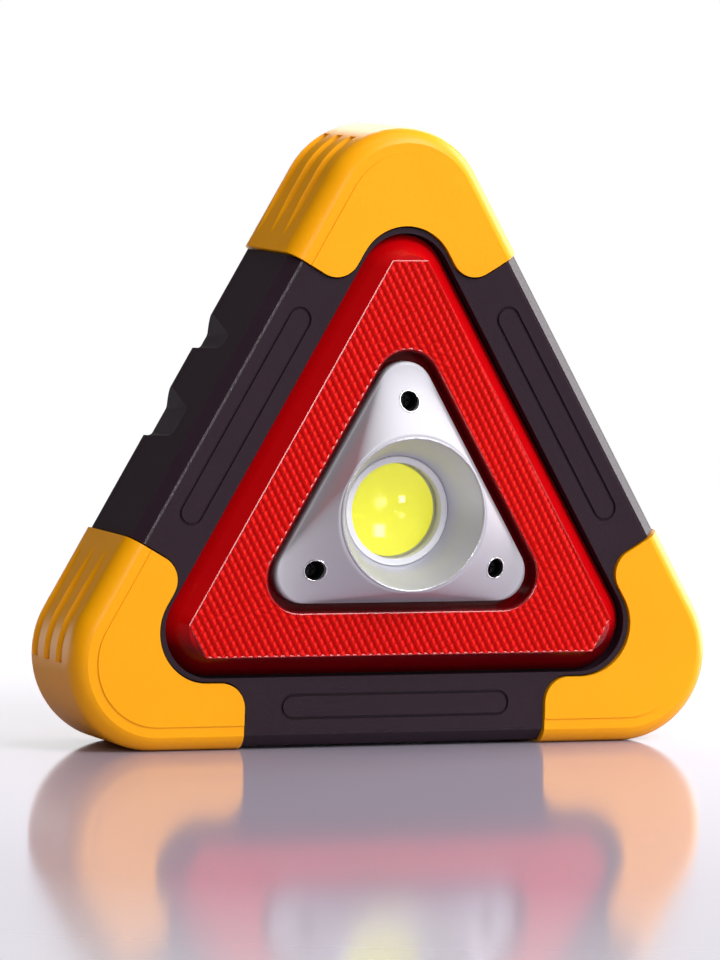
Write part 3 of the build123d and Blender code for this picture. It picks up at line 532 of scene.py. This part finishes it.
lens.feed(base_color=lens.blend(painted_lens_shade, (0.56, 0.001, 0.003), (0.14, 0.0003, 0.002)),
          roughness=0.10 + 0.10 * lens.noise(40.0, 4.0))
dress(lens.material, "red_lens")

# ---------------------------------------------------------------- silver plate
# A plastic moulding coated with aluminium under vacuum and left satin, so it shows broad soft bands.
# Its hollow flank rises from a triangular edge to the round rim of the light's cup.

RIM_DEPTH = -10.3 * MM
EDGE_DEPTH = -2.0 * MM
PLATE_INRADIUS = 24.9 * MM
PLATE_CORNER = 8.1 * MM
PLATE_TIP = 2 * PLATE_INRADIUS - PLATE_CORNER
PLATE_CURVE = 1.45
PLATE_WALL = 1.2 * MM
PLATE_BACK = 1.9 * MM
RIM_OUTER = 21.5 * MM
RIM_WIDTH = 0.8 * MM
CUP_FLOOR = 15.25 * MM
CUP_FLOOR_DEPTH = 2.3 * MM
CUP_WALL = 1.2 * MM
COLLAR_BACK = 7.6 * MM
WELL_CIRCLE = 31.0 * MM
WELL_RADIUS = 2.8 * MM
LIP_HEIGHT = 0.4 * MM
CUP_STEPS = 8
BISECTIONS = 20
CROWDING = 1.4
WELL_SEGMENTS = 40
DRILL_LENGTH = 20 * MM
WELL_LIP = 0.2 * MM
WELL_EDGE = WELL_RADIUS + WELL_LIP / 2
RIM_BEAD = 0.32 * MM
RIM_POINTS = 180
LIP_STEPS = 6
FLANK_STEPS = 28
INNER_STEPS = 6
PLATE_ANGLES = 216


def flank(angle, step):
    """Radius and depth of the plate's hollow flank, from the rim at 0 to the edge at 1."""
    inradius = RIM_OUTER + step * (PLATE_INRADIUS - RIM_OUTER)
    tip = RIM_OUTER + step * (PLATE_TIP - RIM_OUTER)
    corner = min(2 * inradius - tip, inradius - 0.01 * MM)
    depth = EDGE_DEPTH + (RIM_DEPTH - EDGE_DEPTH) * (1 - step) ** PLATE_CURVE
    return rounded_radius(angle, inradius, corner), depth


def cup_back(depth):
    """Radius of the cup wall's outside at a depth."""
    return CUP_FLOOR + CUP_WALL + (RIM_OUTER - CUP_FLOOR) * (CUP_FLOOR_DEPTH - depth) / (
        CUP_FLOOR_DEPTH - RIM_DEPTH)


def plate_section(angle):
    """Closed outline of the plate's section in one direction, as radius and depth."""
    section = [(CUP_FLOOR, COLLAR_BACK), (CUP_FLOOR, CUP_FLOOR_DEPTH)]
    lip = RIM_OUTER - RIM_WIDTH
    shoulder = RIM_DEPTH + LIP_HEIGHT
    for step in range(1, CUP_STEPS + 1):
        rise = step / CUP_STEPS
        section.append((CUP_FLOOR + (lip - CUP_FLOOR) * rise,
                        CUP_FLOOR_DEPTH + (shoulder - CUP_FLOOR_DEPTH) * rise))
    for step in range(1, LIP_STEPS + 1):
        turn = pi * step / LIP_STEPS
        section.append((lip + RIM_WIDTH / 2 * (1 - cos(turn)), shoulder - LIP_HEIGHT * sin(turn)))
    for step in range(1, FLANK_STEPS + 1):
        radius, depth = flank(angle, (step / FLANK_STEPS) ** CROWDING)
        section.append((max(radius, RIM_OUTER + 0.05 * MM * step), max(depth, shoulder + HAIR)))
    edge = section[-1][0]
    section += [(edge, PLATE_BACK), (edge - PLATE_WALL, PLATE_BACK)]
    # The inside runs parallel to the flank until it meets the cup wall's outside
    low, high = 0.0, 1.0
    for _ in range(BISECTIONS):
        middle = (low + high) / 2
        radius, depth = flank(angle, middle)
        meets = radius - PLATE_WALL > cup_back(depth + PLATE_WALL)
        low, high = (low, middle) if meets else (middle, high)
    for step in range(INNER_STEPS + 1):
        radius, depth = flank(angle, 1 + (high - 1) * step / INNER_STEPS)
        section.append((radius - PLATE_WALL, depth + PLATE_WALL))
    return section + [(CUP_FLOOR + CUP_WALL, CUP_FLOOR_DEPTH), (CUP_FLOOR + CUP_WALL, COLLAR_BACK)]


columns = []
for count in range(PLATE_ANGLES):
    angle = 30 + 360 * count / PLATE_ANGLES
    columns.append([centre + Vector((around(angle).x * radius, depth, around(angle).y * radius))
                    for radius, depth in plate_section(angle)])
plate_mesh = looped(columns)

# The three screw wells are bored straight through the flank
drills = bmesh.new()
for angle in CORNERS:
    flat = WELL_CIRCLE * around(angle)
    stand = Matrix.Translation(centre + Vector((flat.x, 0, flat.y))) @ Matrix.Rotation(pi / 2, 4, "X")
    bmesh.ops.create_cone(drills, cap_ends=True, segments=WELL_SEGMENTS, radius1=WELL_RADIUS,
                          radius2=WELL_RADIUS, depth=DRILL_LENGTH, matrix=stand)
drill_mesh = bpy.data.meshes.new("drills")
drills.to_mesh(drill_mesh)
drills.free()
drill = bpy.data.objects.new("drills", drill_mesh)
blank = bpy.data.objects.new("blank", plate_mesh)
for helper in (drill, blank):
    bpy.context.collection.objects.link(helper)
bore = blank.modifiers.new("wells", "BOOLEAN")
bore.operation = "DIFFERENCE"
bore.object = drill
bored = bpy.data.meshes.new_from_object(blank.evaluated_get(bpy.context.evaluated_depsgraph_get()))
flank_tree = BVHTree.FromPolygons([vertex.co for vertex in plate_mesh.vertices],
                                  [polygon.vertices for polygon in plate_mesh.polygons])
for helper in (drill, blank):
    bpy.data.objects.remove(helper)

silver = Finish("silver_coat", metallic=0.7)
bloom = silver.noise(22.0, 4.0)
silver.feed(base_color=silver.blend(bloom, (0.48, 0.47, 0.51), (0.60, 0.59, 0.63)),
            roughness=0.62 + 0.08 * silver.noise(55.0, 3.0),
            normal=silver.bump(silver.noise(3200.0), 0.00002))
plate = piece("silver_plate", bored, silver.material)

# The cup's wall has a thicker, more diffuse coat than the flank
cup_coat = Finish("cup_coat", metallic=0.55)
cup_coat.feed(base_color=cup_coat.blend(cup_coat.noise(30.0, 4.0), (0.55, 0.55, 0.63), (0.63, 0.63, 0.71)),
              roughness=0.36 + 0.12 * cup_coat.noise(80.0, 3.0))
bored.materials.append(cup_coat.material)
for polygon in bored.polygons:
    flat = polygon.center - centre
    if Vector((flat.x, flat.z)).length < RIM_OUTER - RIM_WIDTH and abs(polygon.normal.y) < 0.9:
        polygon.material_index = 1
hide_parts("reflector_plate")


def ring_points(radius, depth, count, middle=(0.0, 0.0)):
    """Points of a circle in the front view at a depth."""
    return [centre + Vector((middle[0] + radius * cos(tau * step / count), depth,
                             middle[1] + radius * sin(tau * step / count))) for step in range(count)]


def tube(name, loops, radius, material, sides=3):
    """Closed round beads along closed lines, as one plain mesh."""
    curve = bpy.data.curves.new(name, "CURVE")
    curve.dimensions = "3D"
    curve.bevel_depth = radius
    curve.bevel_resolution = sides
    for points in loops:
        spline = curve.splines.new("POLY")
        spline.points.add(len(points) - 1)
        for target, point in zip(spline.points, points):
            target.co = (*point, 1.0)
        spline.use_cyclic_u = True
    holder = bpy.data.objects.new(name, curve)
    bpy.context.collection.objects.link(holder)
    mesh = bpy.data.meshes.new_from_object(holder.evaluated_get(bpy.context.evaluated_depsgraph_get()))
    bpy.data.objects.remove(holder)
    for polygon in mesh.polygons:
        polygon.use_smooth = True
    return piece(name, mesh, material)


# Each well's edge is turned over into a thin polished lip, and a near-black tube lines it as painted shade
# deep in the well
well_edges = []
for angle in CORNERS:
    starts = ring_points(WELL_EDGE, -DRILL_LENGTH, WELL_SEGMENTS, WELL_CIRCLE * around(angle))
    well_edges.append([flank_tree.ray_cast(start, Vector((0, 1, 0)))[0] for start in starts])
polished = Finish("polished_lip", metallic=1.0, base_color=(0.85, 0.85, 0.87, 1.0))
polished.feed(roughness=0.14 + 0.1 * polished.noise(300.0))
tube("well_lips", well_edges, WELL_LIP, polished.material)
rim_line = ring_points(RIM_OUTER - RIM_WIDTH / 2, RIM_DEPTH + RIM_BEAD, RIM_POINTS)
tube("cup_rim_bead", [rim_line], RIM_BEAD, polished.material, sides=4)

# Painted shade: the well liners are all but black, so the wells read as deep shaded holes
well_black = moulded("well_black", (0.002, 0.002, 0.002), (0.004, 0.004, 0.004), 0.6, 900.0, 0.00003,
                     specular_ior_level=0.1)


def turned_ring(name, places, section, segments, material):
    """Turned parts, one at each place of the front view, from a closed section of radius and depth."""
    together = bmesh.new()
    for place in places:
        columns = [[centre + Vector((place[0] + cos(tau * count / segments) * radius, depth,
                                     place[1] + sin(tau * count / segments) * radius))
                    for radius, depth in section] for count in range(segments)]
        together.from_mesh(looped(columns))
    mesh = bpy.data.meshes.new(name)
    together.to_mesh(mesh)
    together.free()
    return piece(name, mesh, material)


LINER_OUTER = 2.75 * MM
LINER_MOUTH = 2.45 * MM
LINER_FOOT = 2.42 * MM
LINER_FRONT = -4.2 * MM
LINER_BACK = 0.45 * MM
liner_section = [(LINER_OUTER, LINER_FRONT), (LINER_MOUTH, LINER_FRONT), (LINER_FOOT, LINER_BACK),
                 (LINER_OUTER, LINER_BACK)]
turned_ring("well_liners", [WELL_CIRCLE * around(angle) for angle in CORNERS], liner_section,
            WELL_SEGMENTS, well_black)
dress(moulded("screw_black", (0.006, 0.006, 0.007), (0.014, 0.014, 0.015), 0.35, 1500.0, 0.00002,
              metallic=0.6), "plate_screws")

# ---------------------------------------------------------------- light source
# A round array of chips under yellow silicone lies behind a clear shallow dome, which a light-grey ring
# holds in the cup's floor.

dress(moulded("ring_plastic", (0.70, 0.70, 0.73), (0.80, 0.80, 0.83), 0.28, 1200.0, 0.00002), "lens_ring")
clear = Finish("dome_clear", base_color=(0.97, 0.97, 0.95, 1.0), transmission_weight=1.0)
clear.feed(roughness=0.02 + 0.06 * clear.noise(60.0, 3.0))
dress(clear.material, "cob_lens")
# Painted light: the phosphor glows by itself though the light is off, standing in for the studio light that
# the clear dome keeps from it
phosphor = Finish("phosphor", emission_strength=0.48, coat_weight=0.4)
glow = phosphor.noise(180.0, 3.0)
phosphor.feed(base_color=phosphor.blend(glow, (0.95, 0.90, 0.02), (1.0, 0.99, 0.04)),
              emission_color=phosphor.blend(glow, (0.98, 0.95, 0.02), (0.98, 1.0, 0.04)),
              roughness=0.35 + 0.2 * glow)
dress(phosphor.material, "cob_phosphor")
edge_grey = moulded("ring_edge", (0.70, 0.70, 0.70), (0.80, 0.80, 0.80), 0.2, 900.0, 0.00001)
RING_EDGE = 14.95 * MM
RING_BEAD = 0.24 * MM
RING_POINTS = 160
tube("ring_bead", [ring_points(RING_EDGE, CUP_FLOOR_DEPTH, RING_POINTS)], RING_BEAD, edge_grey)
dress(moulded("chip_carrier", (0.62, 0.62, 0.60), (0.72, 0.72, 0.70), 0.30, 800.0, 0.00002), "cob_base")

# ---------------------------------------------------------------- cast and stamped metal inside
# The heat sink is extruded aluminium, sawn and blasted. The screws, pins and contacts are zinc or nickel
# plated steel, and the sockets have drawn shells of the same.


def plated(name, dark, light, roughness, scale, stretch):
    """Bare or plated metal with fine lines along the given stretch of the pattern."""
    finish = Finish(name, metallic=1.0)
    drawn = finish.node("ShaderNodeMapping", inputs={"Vector": finish.place(), "Scale": stretch})
    lines = finish.node("ShaderNodeTexNoise", inputs={"Vector": drawn, "Scale": scale, "Detail": 4.0})
    return finish.feed(base_color=finish.blend(lines, dark, light), roughness=roughness + 0.2 * lines,
                       normal=finish.bump(lines, 0.00002))


dress(plated("sink_metal", (0.50, 0.50, 0.51), (0.66, 0.66, 0.67), 0.34, 500.0, (1.0, 0.1, 1.0)), "heat_sink")
dress(plated("zinc_steel", (0.46, 0.47, 0.50), (0.62, 0.62, 0.64), 0.26, 700.0, (1.0, 1.0, 1.0)),
      "housing_screws", "carrier_screws", "door_screw", "stand_pins", "battery_contacts", "tact_switch")
dress(plated("socket_shell", (0.55, 0.55, 0.57), (0.72, 0.72, 0.73), 0.22, 900.0, (1.0, 0.08, 1.0)),
      "charge_port", "usb_port")

# ---------------------------------------------------------------- seals, cover and button
# The seal, the gasket and the hinged socket cover are black rubber with a dull bloom. The push button is
# red silicone, polished by fingers in its middle.

dress(moulded("seal_rubber", (0.012, 0.012, 0.012), (0.022, 0.021, 0.021), 0.58, 1100.0, 0.00006, 0.16),
      "housing_seal", "lens_gasket", "port_cover")
silicone = Finish("button_silicone")
button_low, button_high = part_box("power_button")
button_middle = (button_low + button_high) / 2
from_middle = silicone.node("ShaderNodeVectorMath", {"operation": "DISTANCE"},
                            {0: silicone.place(), 1: button_middle}, output="Value")
worn = (1.0 - from_middle / (button_high.x - button_middle.x)).bounded()
silicone.feed(base_color=silicone.blend(silicone.noise(90.0, 4.0), (0.42, 0.010, 0.010),
                                        (0.52, 0.020, 0.016)),
              roughness=0.55 - 0.2 * worn,
              normal=silicone.bump(silicone.noise(1300.0), 0.00005))
dress(silicone.material, "power_button")

# ---------------------------------------------------------------- boards, lights and cells
# The control board has green solder mask and the ring board white, each with a faint print of its
# copper. The red lights are domed epoxy, and the cells wear a blue shrink wrap.


def masked(name, dark, light):
    """Solder mask over copper tracks, which show as slightly lighter raised squares."""
    finish = Finish(name, coat_weight=0.3)
    cells = finish.node("ShaderNodeTexVoronoi", {"distance": "CHEBYCHEV"},
                        {"Vector": finish.place(), "Scale": 260.0})
    tracks = cells > 0.42
    return finish.feed(base_color=finish.blend(tracks, dark, light),
                       roughness=0.34 + 0.1 * finish.noise(200.0),
                       normal=finish.bump(tracks, 0.00004))


dress(masked("mask_green", (0.012, 0.11, 0.045), (0.02, 0.17, 0.07)), "control_board")
dress(masked("mask_white", (0.70, 0.70, 0.68), (0.78, 0.78, 0.76)), "red_led_board")
epoxy = Finish("red_epoxy", transmission_weight=0.35, coat_weight=0.3)
epoxy.feed(base_color=epoxy.blend(epoxy.noise(400.0), (0.62, 0.010, 0.010), (0.80, 0.03, 0.02)),
           roughness=0.12 + 0.1 * epoxy.noise(900.0))
dress(epoxy.material, "red_leds")
dress(moulded("carrier_plastic", (0.050, 0.050, 0.053), (0.070, 0.070, 0.073), 0.45, 1500.0, 0.00005),
      "inner_carrier")
dress(moulded("cell_wrap", (0.012, 0.075, 0.26), (0.018, 0.10, 0.32), 0.22, 260.0, 0.00006), "battery_cells")
